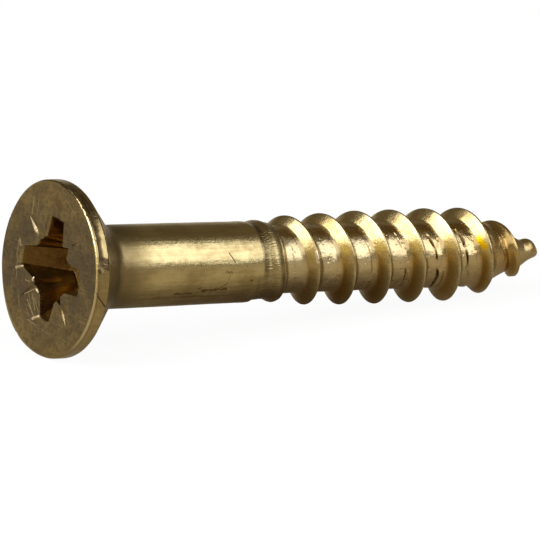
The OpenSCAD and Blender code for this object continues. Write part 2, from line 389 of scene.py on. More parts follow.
def roll_thread(bm, form, grime_and_shade, amber):
    """Gives each vertex its radius, with the folds and dents of rolling, and its darkening and amber
    tone, which hold painted shade and painted reflection.
    """
    z_max = max(v.co.z for v in bm.verts)
    for v in bm.verts:
        azimuth = azimuth_of(v.co)
        z = v.co.z
        offset, crest_z = form.place(z, azimuth)
        root = offset if offset > 0 else offset + form.pitch
        groove_z = crest_z if offset > 0 else crest_z - form.pitch
        spot = round_axis(azimuth, 1.0, z * 0.7)
        folded = ramp(groove_z, 13.3, form.fold_start) * (1 - ramp(groove_z, 21.5, 22.2))
        lift = dirt_and_shade = 0.0
        if folded > 0 and ROOT_FROM < root < ROW_TO and z < z_max - 0.01:
            moved, lift, dirt_and_shade = fold_root(form, spot, azimuth, root, groove_z, folded)
            z += moved - root
        # Painted shadow: a thin dark line on the groove's floor just behind each crest, boldest behind
        # the second turn's crest.
        elif groove_z > 9.9:
            gap = 0.25 + 0.7 * noise(spot * 5) + 0.9 * bump_at(groove_z - 12.35, 0.35)
            dirt_and_shade = max(0.0, gap) * bump_at(root - form.lean(groove_z) - 0.5, 0.06)
        if offset < ROW_FROM:
            offset, crest_z = root, groove_z
        tent = 1 - offset / (ROW_TO if offset > 0 else ROW_FROM)
        z += form.lean(crest_z) * tent * ramp(crest_z, 9.53, 9.9)
        offset, crest_z = form.edge_place(z, azimuth)
        height = max(0.0, form.height(offset, crest_z))
        brow = form.brow(crest_z)
        # Painted shade on the falling side of the first turn's hill.
        if -brow < offset < -form.crest_half:
            hill = form.first_turn(crest_z) * ramp(crest_z, 9.7, 10.05)
            patchy = 0.46 + 0.5 * noise(spot * 4)
            dirt_and_shade = max(dirt_and_shade, patchy * hill * ramp(offset, -0.95 * brow, -0.55 * brow))
        # Painted reflection: amber at the foot of the head-facing flanks, strongest from the near side
        # down.
        if -0.6 < offset < 0:
            foot = (1 - ease(ramp(height, 0.45, 0.95))) * ramp(crest_z, 11.0, 14.0)
            v[amber] = foot * mix(0.3, 1.0, ease(round_ramp(azimuth, 248, 268)))
        v[grime_and_shade] = min(1.0, dirt_and_shade)
        radius = form.thread_r(z, azimuth) + lift
        spot = round_axis(azimuth, radius, z)
        dents = 0.011 * noise(spot * 2.8) + 0.0025 * noise(spot * 8.5)
        v.co = set_ring(v.co, radius + dents * (1 - 0.75 * height) * ramp(z, form.plain_end, 10.4), z)


def open_rim(bm, z):
    """The open edges of the skin at a place along the axis."""
    return [e for e in bm.edges if e.is_boundary and all(abs(v.co.z - z) < 1e-3 for v in e.verts)]


def draw_ring(bm, edges, radius, z):
    """Pulls the open rim to a new radius and place, and returns the new rim."""
    made = bmesh.ops.extrude_edge_only(bm, edges=edges)["geom"]
    verts = set(only(BMVert, made))
    for v in verts:
        v.co = set_ring(v.co, radius, z)
    return [e for e in only(BMEdge, made) if set(e.verts) <= verts]


def head_outline(form):
    """Radius and place of each ring, from the shank over neck, cone, rim and edge to the face."""
    r, h, edge, gap = form.head_r, form.rim_h, form.edge_r, form.cone_gap
    half = radians(form.cone_half)
    offset = h * sin(half) + r * cos(half)
    neck_z = (offset + form.neck_r - (form.shank_r + form.neck_r) * cos(half)) / sin(half)
    shank_rings = ceil((form.skin_z - neck_z) / 0.2)
    neck_rings, cone_rings, rim_rings, edge_rings = 8, 12, 9, 6
    places = [mix(form.skin_z, neck_z, i / shank_rings) for i in range(1, shank_rings)]
    rings = [(form.shank_at(z), z) for z in places]
    for i in range(neck_rings + 1):
        a = half * i / neck_rings
        rings.append((form.shank_r + form.neck_r * (1 - cos(a)), neck_z - form.neck_r * sin(a)))
    foot_r, foot_z = rings[-1]
    shares = [i / cone_rings for i in range(1, cone_rings + 1)]
    rings += [(mix(foot_r, r - gap, share), mix(foot_z, h + gap, share)) for share in shares]
    rings += [(r - 0.02, h + 0.008), (r - 0.006, h - 0.03)]
    rings += [(r, mix(h - 0.07, edge, i / rim_rings)) for i in range(rim_rings + 1)]
    for i in range(1, edge_rings + 1):
        a = pi / 2 * i / edge_rings
        rings.append((r - edge + edge * cos(a), edge - edge * sin(a)))
    rings += [(r - edge - 0.02, 0.0)]
    return rings


# Nicks in the rim: azimuth in degrees, place z, width round the rim, width along the axis, depth
RIM_NICKS = [
    (255, 0.26, 0.2, 0.22, 0.012),
    (216, 0.08, 0.1, 0.1, 0.05),
    (222, 0.06, 0.12, 0.08, 0.035),
    (229, 0.04, 0.08, 0.06, 0.02),
    (241, 0.05, 0.1, 0.07, 0.02),
    (276, 0.06, 0.1, 0.1, 0.03),
    (34, 0.06, 0.16, 0.1, 0.03),
    (118, 0.1, 0.25, 0.15, 0.025),
    (160, 0.4, 0.15, 0.15, 0.02),
    (72, 0.3, 0.3, 0.2, 0.015),
]


def mark_head(bm, form, grime_and_shade):
    """Nicks and a rolled valley in the head's rim, which is painted dark as shade, and a slight
    unevenness of head and shank.
    """
    for v in bm.verts:
        if v.co.z > form.plain_end:
            continue
        radius = hypot(v.co.x, v.co.y)
        azimuth = azimuth_of(v.co)
        if v.co.z < 0.02 and radius < form.head_r - form.edge_r:
            continue
        sunk = 0.006
        if radius > form.head_r - 0.3 and v.co.z < form.rim_h + 0.1:
            sunk -= 0.1 * round_bump(azimuth, 42, 40) - 0.045 * round_bump(azimuth, 118, 32)
            for degrees, z, across, along, depth in RIM_NICKS:
                gap = turn_from(azimuth, degrees) * radius
                sunk += depth * bump_at(gap, across) * bump_at(v.co.z - z, along)
            side = round_ramp(azimuth, 198, 216) * (1 - round_ramp(azimuth, 252, 262))
            wave = noise(Vector((azimuth * 14, 5, 0)))
            ragged = max(0.0, 0.9 + 0.8 * noise(Vector((azimuth * 9, v.co.z * 3, 0))))
            valley = side * ragged * bump_at(v.co.z - 0.23 - 0.04 * wave, 0.14)
            sunk += 0.055 * valley
            # The valley is also painted dark, a painted shade.
            v[grime_and_shade] = min(0.95, 1.6 * valley)
        uneven = 0.006 * noise(v.co * 1.3) + 0.003 * noise(v.co * 4.1)
        v.co = set_ring(v.co, radius - sunk + min(0.005, uneven), v.co.z)


# The recess's wings at the face, from the lowest: reach, both sides at the end and both at the root
WINGS = [
    (2.24, -0.5, 0.28, -0.72, 0.46),
    (2.44, -0.32, 0.6, -0.74, 0.72),
    (2.28, -0.6, 0.68, -0.72, 0.8),
    (2.42, -0.62, 0.5, -0.66, 0.64),
]
# The same just below the face, where wear has rounded the edges
WORN_WINGS = [
    (2.17, -0.49, 0.25, -0.71, 0.45),
    (2.22, -0.385, 0.36, -0.74, 0.66),
    (2.22, -0.42, 0.67, -0.55, 0.79),
    (2.4, -0.6, 0.48, -0.65, 0.63),
]
# Core flats between the wings: distance from the axis, reach of the notch and its half width
FLATS = [(1.22, 1.36, 0.14), (1.36, 1.48, 0.17), (1.44, 1.82, 0.27), (1.42, 1.78, 0.18)]
WORN_FLATS = [(1.21, 1.34, 0.13), (1.31, 1.42, 0.15), (1.43, 1.8, 0.26), (1.41, 1.76, 0.17)]


def recess_outline(form, wings, flats):
    """Places round the recess at one depth: in each quarter a wing's end, then a notched core flat."""
    places = []
    cut = 0.04  # corners of the wing's end
    for quarter in range(4):
        turn = Matrix.Rotation(radians(form.recess_turn + 90 * quarter), 2)
        reach, low_end, high_end, _, high_root = wings[quarter]
        low_root = -wings[(quarter + 1) % 4][3]
        flat, notch, notch_half = flats[quarter]
        flat *= sqrt(2)
        step, tip = notch_half / sqrt(2), notch / sqrt(2)
        middle = (low_end + high_end) / 2
        for x, y in (
            (reach - cut, low_end), (reach, middle), (reach - cut, high_end),
            (flat - high_root, high_root), (flat / 2 + step, flat / 2 - step), (tip, tip),
            (flat / 2 - step, flat / 2 + step), (low_root, flat - low_root),
        ):
            places.append(turn @ Vector((x, y)))
    return places


def draw_loop(bm, places):
    """Draws a closed line on the face: its vertices and its edges."""
    verts = [bm.verts.new((p.x, p.y, 0.0)) for p in places]
    return verts, [bm.edges.new(pair) for pair in zip(verts, verts[1:] + verts[:1])]


def sink_ring(bm, ring, places, z):
    """Carries a ring of vertices down to new places, with a wall between."""
    pairs = zip(ring, ring[1:] + ring[:1])
    edges = [next(e for e in a.link_edges if e.other_vert(a) is b) for a, b in pairs]
    made = set(bmesh.ops.extrude_edge_only(bm, edges=edges)["geom"])
    lower = [next(e.other_vert(v) for e in v.link_edges if e.other_vert(v) in made) for v in ring]
    for v, place in zip(lower, places):
        v.co = (place.x, place.y, z)
    return lower


def sink_recess(bm, form):
    """Sinks the recess's edge, walls and pointed bottom, and returns its mouth's edges."""
    ring, mouth = draw_loop(bm, recess_outline(form, WINGS, FLATS))
    face = [v.co.to_2d() for v in ring]
    worn = recess_outline(form, WORN_WINGS, WORN_FLATS)
    edge_depth, wall_rings = 0.11, 10
    for z, share in ((0.015, 0.4), (0.05, 0.75), (edge_depth, 1.0)):
        ring = sink_ring(bm, ring, [a.lerp(b, share) for a, b in zip(face, worn)], z)
    foot_wings = [(1.05, -0.44, 0.5, -0.53, 0.53)] * 4
    foot_flats = [(0.95, 0.96, 0.12)] * 4
    foot = recess_outline(form, foot_wings, foot_flats)
    start = [v.co.copy() for v in ring]
    for i in range(1, wall_rings + 1):
        share = i / wall_rings
        places = [first.to_2d().lerp(last, share) for first, last in zip(start, foot)]
        ring = sink_ring(bm, ring, places, mix(edge_depth, form.recess_depth, share))
    floor = bm.faces.new(ring)
    centre = bmesh.ops.poke(bm, faces=[floor])["verts"]
    bmesh.ops.translate(bm, verts=centre, vec=(0, 0, form.point_depth))
    return mouth


# Pressed lines between the wings: azimuth, both ends, widest place, half width, depth and lean
TICKS = [
    (141.0, 1.54, 2.62, 1.9, 0.125, 0.09, -0.1),
    (322.0, 1.84, 2.64, 2.18, 0.08, 0.08, 0.05),
    (232.7, 1.97, 2.55, 2.2, 0.035, 0.03, 0.05),
    (52.5, 1.5, 2.44, 1.75, 0.055, 0.05, 0.0),
]


def draw_ticks(bm):
    """Outlines of the pressed lines, and the deepest place of each."""
    loops = []
    for degrees, inner, outer, middle, half, depth, lean in TICKS:
        turn = Matrix.Rotation(radians(degrees), 2)
        corners = (inner, -lean), (middle, half), (outer, lean), (middle, -half)
        _, edges = draw_loop(bm, [turn @ Vector(corner) for corner in corners])
        bottom = turn @ Vector((middle, 0))
        loops.append((edges, Vector((*bottom, depth))))
    return loops


def fill_face(bm, rim, mouth, ticks):
    """Fills the face between its rim, the recess and the ticks, then sinks the ticks."""
    outlines = rim + mouth + [e for edges, _ in ticks for e in edges]
    bmesh.ops.triangle_fill(bm, edges=outlines, use_beauty=True, normal=(0, 0, -1))
    for edges, bottom in ticks:
        cap = [f for f in bm.faces if len(f.verts) == 4 and set(edges) == set(f.edges)]
        if not cap:
            cap = bmesh.ops.edgeloop_fill(bm, edges=edges)["faces"]
        centre = bmesh.ops.poke(bm, faces=cap)["verts"][0]
        centre.co = bottom


def close_tip(bm, form):
    """Rounds the nub over to the very end of the screw and bends it."""
    edges, cap_rings = open_rim(bm, form.skin_end_z), 10
    for i in range(1, cap_rings):
        z = mix(form.skin_end_z, form.length, sin(pi / 2 * i / cap_rings))
        edges = draw_ring(bm, edges, max(0.02, form.core_at(z)), z)
    verts = list(dict.fromkeys(v for e in edges for v in e.verts))
    bmesh.ops.pointmerge(bm, verts=verts, merge_co=(0, 0, form.length))
    for v in bm.verts:
        if v.co.z > form.nub_z:
            v.co.x += form.nub_shift(v.co.z)


# Burrs on the face: place down and away from the axis, half length, half width, height and azimuth
BURRS = [
    (0.54, 2.21, 0.34, 0.05, 0.05, 67),
    (2.25, 0.49, 0.34, 0.055, 0.045, 62),
    (0.72, 1.06, 0.1, 0.06, 0.035, 30),
    (1.12, 0.66, 0.1, 0.06, 0.035, 110),
]


def burr_matrix(down, away, degrees):
    turn = Matrix.Rotation(radians(ScrewForm.recess_turn), 4, "Z")
    return turn @ Matrix.Translation((down, away, 0.0)) @ Matrix.Rotation(radians(degrees), 4, "Z")


def raise_burrs(bm):
    """Slivers that the punch has raised beside the recess, half sunk in the face."""
    for down, away, long, wide, tall, degrees in BURRS:
        matrix = burr_matrix(down, away, degrees) @ Matrix.Diagonal((long, wide, tall, 1.0))
        bmesh.ops.create_icosphere(bm, subdivisions=2, radius=1.0, matrix=matrix)


def screw_matrix():
    """Takes a place on the screw's own axis to where the CAD screw lies."""
    axis = -Vector(MOUNTS["drive_recess"]["axis"]).normalized()
    away = Vector((0, 1, 0))
    turned = Matrix((away.cross(axis), away, axis)).transposed().to_4x4()
    return Matrix.Translation(MOUNTS["drive_recess"]["pos_m"]) @ turned @ Matrix.Scale(MM, 4)


def sharpen(bm, degrees):
    """Smooth shading, with steep edges and the edges of flats kept sharp."""
    for f in bm.faces:
        f.smooth = True
    for e in bm.edges:
        level = [abs(f.normal.z) > 0.9999 for f in e.link_faces]
        e.smooth = e.calc_face_angle(0.0) < radians(degrees) and len(set(level)) == 1


def double_columns(bm, rim):
    """Splits each edge of the open rim in two, and returns the new rim."""
    cut = bmesh.ops.subdivide_edges(bm, edges=rim, cuts=1)["geom_split"]
    return [e for e in only(BMEdge, cut) if e.is_boundary]


def draw_head(bm, form):
    """Draws the skin from the shank to the rim, and returns the edges round the face."""
    rim = open_rim(bm, form.skin_z)
    for radius, z in head_outline(form):
        rim = draw_ring(bm, rim, radius, z)
        if abs(radius - form.head_r + form.cone_gap) < 1e-6:
            rim = double_columns(bm, rim)
            for v in {v for e in rim for v in e.verts}:
                v.co = set_ring(v.co, radius, z)
    return rim


def choose_materials(bm, form):
    """Gives each face the material of the head's face, the recess or the body."""
    deepest = form.recess_depth + form.point_depth
    for f in bm.faces:
        middle = f.calc_center_median()
        reach = hypot(middle.x, middle.y)
        f.material_index = BODY
        if reach < form.head_r - form.edge_r and middle.z < 0.09:
            f.material_index = FACE
        elif middle.z < deepest and reach < form.face_reach - 0.6 * middle.z:
            f.material_index = RECESS


def screw_mesh(form):
    """The whole screw as one closed skin, with its burrs."""
    bm = bmesh.new()
    grime_and_shade = bm.verts.layers.float.new("grime_and_shade")
    amber = bm.verts.layers.float.new("amber")
    wind_thread(bm, form, form.skin_z, form.skin_end_z)
    roll_thread(bm, form, grime_and_shade, amber)
    rim = draw_head(bm, form)
    close_tip(bm, form)
    mark_head(bm, form, grime_and_shade)
    mouth = sink_recess(bm, form)
    fill_face(bm, rim, mouth, draw_ticks(bm))
    bmesh.ops.remove_doubles(bm, verts=bm.verts[:], dist=1e-4)
    bmesh.ops.recalc_face_normals(bm, faces=bm.faces[:])
    choose_materials(bm, form)
    raise_burrs(bm)
    sharpen(bm, degrees=38)
    bm.transform(screw_matrix())
    return bm


def add_object(name, data):
    made = bpy.data.objects.new(name, data)
    bpy.context.scene.collection.objects.link(made)
    return made


def add_piece(name, bm, materials):
    mesh = bpy.data.meshes.new(name)
    bm.to_mesh(mesh)
    bm.free()
    for material in materials:
        mesh.materials.append(material)
    return add_object(name, mesh)


# ---- Materials ----


class Socket:
    """One value in a material. Arithmetic on it adds Math nodes."""

    def __init__(self, shader, output):
        self.shader = shader
        self.output = output

    def math(self, operation, *others):
        return self.shader.node("Math", [self, *others], operation=operation)

    def __add__(self, other):
        return self.math("ADD", other)

    def __sub__(self, other):
        return self.math("SUBTRACT", other)

    def __rsub__(self, other):
        return self.shader.node("Math", [other, self], operation="SUBTRACT")

    def __mul__(self, other):
        return self.math("MULTIPLY", other)

    def __pow__(self, other):
        return self.math("POWER", other)

    __radd__ = __add__
    __rmul__ = __mul__

    def band(self, low, high, start=0.0, end=1.0):
        """A smooth step from one level to another."""
        inputs = [self, low, high, start, end]
        return self.shader.node("MapRange", inputs, interpolation_type="SMOOTHSTEP")

    def below(self, low, high):
        """1 below a place and 0 above it, with a smooth step between."""
        return self.band(low, high, 1.0, 0.0)

    def span(self, rise_from, rise_to, fall_from, fall_to):
        """1 between a smooth rise and a smooth fall, and 0 outside."""
        return self.band(rise_from, rise_to) * self.below(fall_from, fall_to)

    def vector(self, operation, *others, output=0):
        return self.shader.node("VectorMath", [self, *others], output, operation=operation)

    def split(self):
        """The three coordinates of a place."""
        return [Socket(self.shader, part) for part in self.shader.add("SeparateXYZ", [self]).outputs]

    def cloud(self, scale, detail=3.0, roughness=0.6, output=0):
        inputs = {"Vector": self, "Scale": scale, "Detail": detail, "Roughness": roughness}
        return self.shader.node("TexNoise", inputs, output)

    def stretch(self, scale, rotation=(0, 0, 0)):
        inputs = {"Vector": self, "Scale": scale, "Rotation": rotation}
        return self.shader.node("Mapping", inputs)


class Shader:
    """Builds one material's or world's nodes."""

    def __init__(self, owner):
        owner.use_nodes = True
        self.owner = owner
        self.tree = owner.node_tree
        self.tree.nodes.clear()

    def add(self, kind, inputs=(), **settings):
        """Adds a shader node. Its sockets' values or links are given by name or in order."""
        made = self.tree.nodes.new("ShaderNode" + kind)
        for name, value in settings.items():
            setattr(made, name, value)
        for name, value in inputs.items() if isinstance(inputs, dict) else enumerate(inputs):
            if isinstance(value, Socket):
                self.tree.links.new(value.output, made.inputs[name])
            else:
                made.inputs[name].default_value = value
        return made

    def node(self, kind, inputs=(), output=0, **settings):
        return Socket(self, self.add(kind, inputs, **settings).outputs[output])

    def blend(self, factor, first, second):
        """Mixes two colours."""
        return self.node("Mix", {0: factor, 6: first, 7: second}, 2, data_type="RGBA")

    def layered(self, colours, base, layers):
        """Lays named colours over a base colour in turn, each as strongly as its mask says."""
        tone = rgba(getattr(colours, base))
        for mask, name in layers:
            tone = self.blend(mask, tone, rgba(getattr(colours, name)))
        return tone

    def attribute(self, name):
        """A value stored on the mesh's vertices."""
        return self.node("Attribute", output=2, attribute_name=name)


def rgba(value):
    return (*value, 1.0)


def warped(place, amount, scale):
    """The place pushed about by noise, for marks with a ragged edge."""
    push = place.cloud(scale, 2.0, 0.5, output=1).vector("SUBTRACT", (0.5, 0.5, 0.5))
    return push.vector("MULTIPLY_ADD", (amount, amount, amount), place)


def strokes(place, lines):
    """A mask of thin lines, each with its own two ends, half width and strength."""
    total = None
    for start, end, width, strength in lines:
        along = end - start
        from_start = place.vector("SUBTRACT", start)
        share = from_start.vector("DOT_PRODUCT", along / along.length_squared, output=1)
        share = share.math("MAXIMUM", 0.0).math("MINIMUM", 1.0)
        nearest = place.shader.node("VectorMath", {0: along, 3: share}, operation="SCALE")
        gap = from_start.vector("DISTANCE", nearest, output=1)
        line = gap.band(width * 0.3, width, strength, 0.0)
        total = line if total is None else total.math("MAXIMUM", line)
    return total


def on_shank(degrees, z, radius=1.745):
    return round_axis(radians(degrees), radius, z)


def on_face(degrees, radius):
    return on_shank(degrees, 0.0, radius)


def marks(where, rows):
    """Turns the two ends of each row into places."""
    return [(where(*start), where(*end), width, strength) for start, end, width, strength in rows]


def start_brass(name):
    """Begins a material: its shader, and the place on the screw's own axis, in millimetres."""
    shader = Shader(bpy.data.materials.new(name))
    matrix = screw_matrix()
    raw = shader.node("TexCoord", output=3)
    inputs = [raw, matrix.to_translation(), matrix.to_euler(), (MM, MM, MM)]
    return shader, shader.node("Mapping", inputs, vector_type="TEXTURE")


def finish_brass(shader, tone, roughness, height, coat=0.06):
    """Ends a material in bare metal under a thin clear film. The height is in millimetres."""
    normal = shader.node("Bump", {"Height": height, "Strength": 1.0, "Distance": MM})
    inputs = {
        "Base Color": tone, "Metallic": 1.0, "Roughness": roughness, "Normal": normal,
        "Coat Weight": coat, "Coat Roughness": 0.25, "Coat IOR": 1.4,
    }
    shader.add("OutputMaterial", {"Surface": shader.node("BsdfPrincipled", inputs)})
    return shader.owner


# Marks on the shank, rim and thread, some of them painted light: azimuth, z and radius of both ends, half
# width and strength
STAINS = marks(on_shank, [
    ((304, 5.4), (303, 6.2), 0.075, 0.75),
    ((299.5, 6.75), (298, 7.95), 0.085, 0.85),
    ((297, 7.6), (288, 7.95), 0.045, 0.8),
    ((296, 6.55), (295, 6.62), 0.07, 0.8),
    ((272, 7.75), (272, 8.05), 0.085, 0.6),
    ((287, 9.05), (287, 9.3), 0.045, 0.8),
    ((283, 7.95), (276, 8.0), 0.035, 0.5),
    ((310, 4.4), (312, 9.2), 0.1, 0.35),
])
RIM_SCARS = marks(on_shank, [
    ((253, 0.18, 3.73), (256, 0.58, 3.73), 0.17, 0.95),
    ((257, 0.24, 3.73), (259.5, 0.5, 3.73), 0.16, 0.95),
    ((206, 0.3, 3.75), (219, 0.36, 3.75), 0.16, 0.5),
    ((190, 0.25, 3.75), (199, 0.2, 3.75), 0.16, 0.5),
    ((188, 0.02, 3.71), (207, 0.04, 3.72), 0.09, 0.75),
    ((252, 0.13, 3.74), (262, 0.15, 3.74), 0.09, 0.7),
])
# A painted highlight: a bright glint along the second turn's crest, in fresh brass.
PAINTED_LIP_GLINT = marks(on_shank, [((250, 12.25, 1.9), (262, 12.31, 1.9), 0.12, 0.9)])
# A painted reflection: the deep yellow of light mirrored twice between brass surfaces, on the last full
# turn.
GOLD_REFLECTION = marks(on_shank, [((237, 20.9, 1.6), (250, 21.05, 1.69), 0.21, 1.0)])
SCRATCHES_AND_SHADOW = marks(on_shank, [
    ((245, 7.92), (260, 8.22), 0.026, 0.95),
    ((257, 6.45), (263, 6.47), 0.022, 0.7),
    ((277, 0.1, 3.74), (284.5, 0.56, 3.75), 0.045, 1.0),
    ((275, 0.03, 3.7), (276.5, 0.12, 3.75), 0.03, 0.7),
    # Not a scratch: a painted shadow on the groove's floor behind the second turn's crest.
    ((271, 12.72, 1.45), (287, 12.62, 1.6), 0.12, 0.8),
])


def body_brass(colours):
    """Rolled brass of the shank, cone and thread: mottled, with bright crests and darkened folds, and
    with painted shade, highlights and reflections in places.
    """
    shader, place = start_brass("brass_body")
    x, y, z = place.split()
    radius = (x * x + y * y) ** 0.5
    # Darkening stored on the mesh: dark cracks in the folds, and painted shade behind the crests, on the
    # first turn's falling side and in the rim's valley.
    fold = shader.attribute("grime_and_shade")
    # Painted reflection: amber at the foot of the flanks.
    foot = shader.attribute("amber").math("MINIMUM", 1.0)
    broad = place.cloud(0.55)
    fine = place.cloud(4.0)
    grain = place.cloud(11.0, 2.0)
    along = place.stretch((4.0, 4.0, 0.35)).cloud(1.6)
    spots = place.cloud(3.2, 2.0)
    film = (broad * 0.55 + along * 0.3 + fine * 0.15).band(0.42, 0.62)

    # The head: its rim, the face's worn edge, brightened on the near side as a painted highlight, a
    # darker line beside it on the lower half as painted shade, and the cone with its fillet, tarnished
    # and darkened as painted shade
    rim = z.below(0.6, 0.8)
    edge = radius.band(3.62, 3.66) * z.below(0.035, 0.08) * y.below(-3.3, -1.5)
    lip = z.span(0.035, 0.06, 0.12, 0.2) * x.band(-0.5, 0.3)
    neck = z.span(0.6, 0.9, 2.8, 4.4)
    # The waist, and a painted shade on its step, fading out towards the underside
    waist = z.span(9.65, 9.95, 10.5, 10.9)
    ring = z.span(9.64, 9.8, 9.92, 10.08) * x.below(-0.1, 0.9)
    # The thread: its crests, the grooves' floors, a painted shade on their upper near side, and its last
    # turns
    crest = radius.band(1.88, 1.99) * z.band(9.6, 10.4)
    root = radius.below(1.42, 1.55) * z.band(10.6, 11.2)
    root *= 1 - z.band(21.5, 22.5) * 0.8
    ragged_height = x - y * 0.35 + (fine - 0.5) * 0.7
    painted_groove_shade = root * ragged_height.below(-0.92, -0.76) * y.below(-0.35, -0.1)
    warm = z.band(14.5, 18.0)
    late = z.band(20.4, 21.2)
    last = z.span(21.5, 21.9, 23.3, 23.6)
    nub = z.band(22.0, 24.0)

    ragged = warped(place, 0.22, 5.0)
    scratches_and_shadow = strokes(place, SCRATCHES_AND_SHADOW)
    specks = spots.band(0.66, 0.74)
    dirt_and_shade = fold.math("MAXIMUM", specks * (0.15 + root * 0.3)).math("MAXIMUM", scratches_and_shadow)
    tone = shader.layered(colours, "brass", [
        (film * 0.8, "tarnish"),
        (rim * (0.55 + film * 0.45) + neck * 0.65 + nub * 0.5, "tarnish"),
        # Painted shade in the fillet, on the waist's step and beside the face's edge, with some soiling
        # on the rim.
        (neck * 0.5 + ring * (0.45 + along * 0.5) + rim * 0.12 + lip * 0.25, "grime_and_shade"),
        (waist * 0.15, "face_film"),
        # Painted reflection at the flanks' foot, browner on the lower side of the late turns.
        (foot * (0.55 + fine * 0.5 + late * 0.4), "amber"),
        (foot * late * x.band(-0.6, 0.0) * 0.45, "stain"),
        # Worn crests and roots, and the face edge's painted highlight.
        ((crest * 0.3 + root * 0.7).math("MAXIMUM", edge * 0.8), "worn"),
        (root * warm * 0.2, "amber"),
        (last * (0.25 + fine * 0.4), "amber"),
        # Painted shade on the grooves' upper near side.
        (painted_groove_shade * 0.75, "amber"),
        (painted_groove_shade * grain.band(0.4, 0.55) * 0.35, "grime_and_shade"),
        (strokes(ragged, RIM_SCARS), "grime_and_shade"),
        # Painted reflection of the gold spot.
        (strokes(place, GOLD_REFLECTION), "gold"),
        # Painted highlight on the second turn's crest.
        (strokes(place, PAINTED_LIP_GLINT), "fresh"),
        (strokes(ragged, STAINS), "stain"),
        (dirt_and_shade, "grime_and_shade"),
    ])
    roughness = 0.22 + film * 0.08 + (fine - 0.5) * 0.12 + dirt_and_shade * 0.25 + root * 0.05
    roughness += neck * 0.14 + nub * 0.1
    pits = spots.band(0.6, 0.72)
    lumps = place.cloud(1.9, 3.0, 0.5)
    ribs = place.stretch((9.0, 9.0, 0.6)).cloud(2.0, 2.0)
    height = (
        fine * (0.007 - root * 0.001 + rim * 0.008) + grain * (1 - root) * 0.003 + lumps * root * 0.05
        + along * 0.006 + ribs * waist * 0.024 - pits * root * 0.014 - scratches_and_shadow * 0.01
    )
    return finish_brass(shader, tone, roughness, height)


# Marks on the face: azimuth and radius of both ends, half width and strength
FACE_SCRATCHES = marks(on_face, [
    ((30, 2.75), (14, 2.6), 0.03, 0.6),
    ((44, 2.15), (22, 2.35), 0.03, 0.8),
    ((60, 2.6), (46, 2.85), 0.022, 0.5),
    ((72, 2.95), (60, 3.1), 0.02, 0.4),
    ((152, 3.2), (143, 2.6), 0.035, 0.6),
    ((158, 2.95), (150, 2.4), 0.022, 0.5),
    ((196, 3.25), (212, 3.15), 0.025, 0.4),
    ((335, 2.95), (328, 3.25), 0.02, 0.4),
    ((5, 2.6), (352, 2.75), 0.022, 0.4),
    ((92, 2.45), (70, 2.62), 0.03, 0.5),
    ((44, 1.42), (52, 2.2), 0.03, 0.8),
    ((41, 1.7), (24, 2.05), 0.04, 0.6),
    ((34, 1.66), (19, 1.95), 0.03, 0.5),
    ((50, 1.9), (31, 2.2), 0.03, 0.5),
    ((66, 1.9), (60, 1.55), 0.035, 0.6),
    ((38, 2.45), (22, 2.7), 0.022, 0.4),
    ((110, 2.58), (91, 2.54), 0.035, 0.5),
    ((109, 2.52), (105, 2.36), 0.1, 0.6),
])
FACE_LINES = marks(on_face, [
    ((53, 1.6), (53.5, 2.45), 0.04, 0.9),
    ((231, 2.1), (234, 2.55), 0.03, 0.6),
    ((126, 2.15), (118, 2.2), 0.03, 0.6),
])
FACE_SPOTS = marks(on_face, [
    ((184, 2.95), (190, 2.85), 0.35, 0.55),
    ((170, 3.2), (176, 3.15), 0.2, 0.35),
    ((324, 1.95), (316, 2.05), 0.22, 0.45),
    ((322, 2.95), (318, 3.0), 0.22, 0.45),
    ((352, 3.05), (346, 3.15), 0.25, 0.35),
    ((60, 1.5), (48, 1.6), 0.2, 0.45),
])


def face_brass(colours):
    """The head's face: a mottled olive film over fine scratches that run every way."""
    shader, place = start_brass("brass_face")
    x, _, z = place.split()
    sunk = z.band(0.004, 0.05)
    high_or_low = x.math("ABSOLUTE").band(1.2, 3.2)
    burrs = []
    for down, away, long, wide, _, degrees in BURRS:
        matrix = burr_matrix(down, away, degrees)
        end = Vector((long * 0.8, 0, 0))
        burrs.append((matrix @ -end, matrix @ end, wide * 1.5, 1.0))
    fresh = strokes(place, burrs)
    bright = strokes(warped(place, 0.06, 6.0), FACE_SCRATCHES)
    broad = place.cloud(0.8, 4.0)
    fine = place.cloud(5.0, 3.0, 0.65)
    grain = place.cloud(13.0, 2.0)
    first = place.stretch((0.7, 9.0, 1.0), (0, 0, 0.5)).cloud(1.3, 3.0, 0.7)
    second = place.stretch((11.0, 0.8, 1.0), (0, 0, -0.25)).cloud(1.1, 3.0, 0.7)
    tone = shader.layered(colours, "face_film", [
        (broad.band(0.44, 0.6) * 0.45 + high_or_low * 0.45, "tarnish"),
        (fine.band(0.46, 0.62) * 0.4, "grime_and_shade"),
        (second.band(0.56, 0.7) * 0.3, "brass"),
        (strokes(place, FACE_LINES), "grime_and_shade"),
        (strokes(warped(place, 0.3, 4.0), FACE_SPOTS), "stain"),
        (bright.math("MAXIMUM", sunk * 0.15), "worn"),
        (fresh, "fresh"),
    ])
    roughness = 0.36 + (fine - 0.5) * 0.14 - sunk * 0.08 + fresh * 0.25
    height = first * 0.008 + second * 0.01 + fine * 0.012 + grain * 0.003 - bright * 0.008
    return finish_brass(shader, tone, roughness, height)


